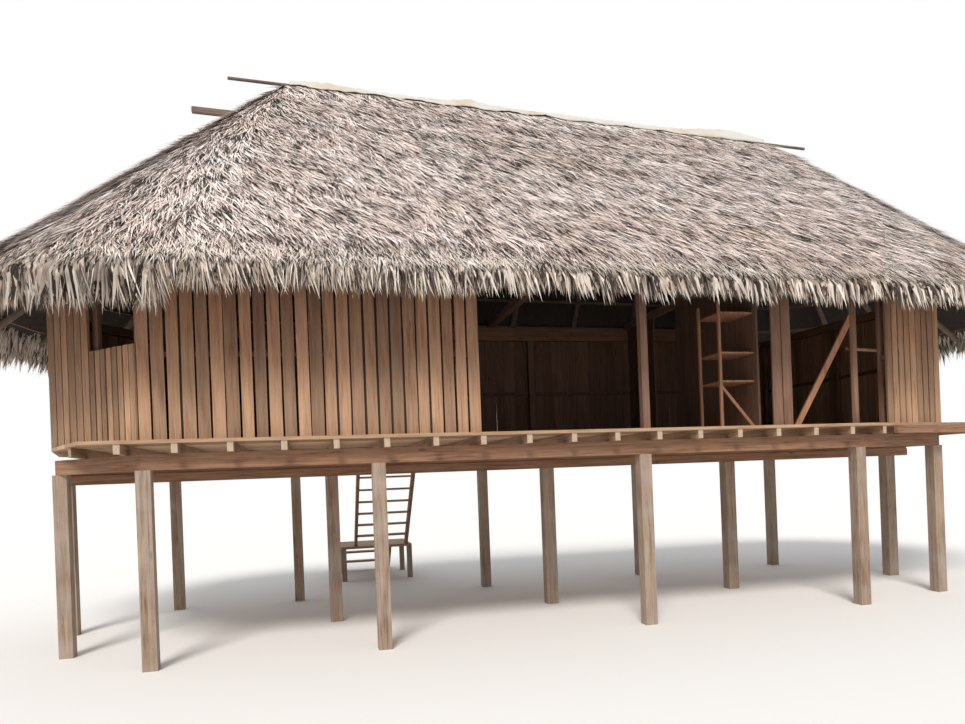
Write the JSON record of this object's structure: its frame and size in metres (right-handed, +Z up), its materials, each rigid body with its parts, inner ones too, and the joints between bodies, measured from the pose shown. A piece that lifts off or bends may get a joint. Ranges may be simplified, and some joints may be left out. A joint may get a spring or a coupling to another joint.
{
  "type": "stilt house",
  "caption": "Timber stilt house with board walls, an open front, a rear stair and a palm-thatch roof with rounded ends.",
  "frame": {"origin": "middle of the foot of the front post at the left end of the long front, on the ground", "axes": "+X along the front to the right as seen from the front, +Y to the back, +Z up"},
  "size_m": [13.2342, 7.3109, 6.3956],
  "materials": {
    "post_timber": "matt",
    "girder_timber": "matt",
    "board_timber": "matt",
    "pale_timber": "matt",
    "pole_timber": "matt",
    "palm_thatch": "matt",
    "ridge_sheet": "satin"
  },
  "bodies": {
    "root": {"front_posts": "post_timber", "middle_posts": "post_timber", "rear_posts": "post_timber", "corner_posts": "post_timber", "front_beam": "girder_timber", "rear_beam": "girder_timber", "left_end_beams": "girder_timber", "right_end_beams": "girder_timber", "middle_beam": "girder_timber", "middle_bolster": "girder_timber", "deck": "pale_timber", "joists": "pale_timber", "edge_plank": "post_timber", "corner_uprights": "post_timber", "front_uprights": "post_timber", "rear_uprights": "post_timber", "end_uprights": "post_timber", "front_plate": "girder_timber", "rear_plate": "girder_timber", "left_end_plates": "girder_timber", "right_end_plates": "girder_timber", "front_wall": "board_timber", "front_panel": "board_timber", "right_front_wall": "board_timber", "right_wall": "board_timber", "left_rear_wall": "board_timber", "left_wall": "board_timber", "left_front_wall": "board_timber", "window_apron": "board_timber", "rear_wall_right": "board_timber", "rear_wall_left": "board_timber", "partition": "board_timber", "tie_beams": "girder_timber", "king_posts": "girder_timber", "ridge_pole": "pole_timber", "side_rafters": "pole_timber", "end_rafters": "pole_timber", "side_battens": "pole_timber", "end_battens": "pole_timber", "front_thatch": "palm_thatch", "rear_thatch": "palm_thatch", "left_end_thatch": "palm_thatch", "right_end_thatch": "palm_thatch", "ridge_cover": "ridge_sheet", "cap_poles": "pole_timber", "upper_stair_stringers": "girder_timber", "upper_stair_treads": "pale_timber", "lower_stair_stringers": "girder_timber", "lower_stair_treads": "pale_timber", "landing": "pale_timber", "landing_posts": "post_timber", "wall_rails": "board_timber", "hanging_rail": "pole_timber", "shelf_frame": "pale_timber", "shelves": "pale_timber", "front_brace": "pale_timber"}
  },
  "joints": []
}
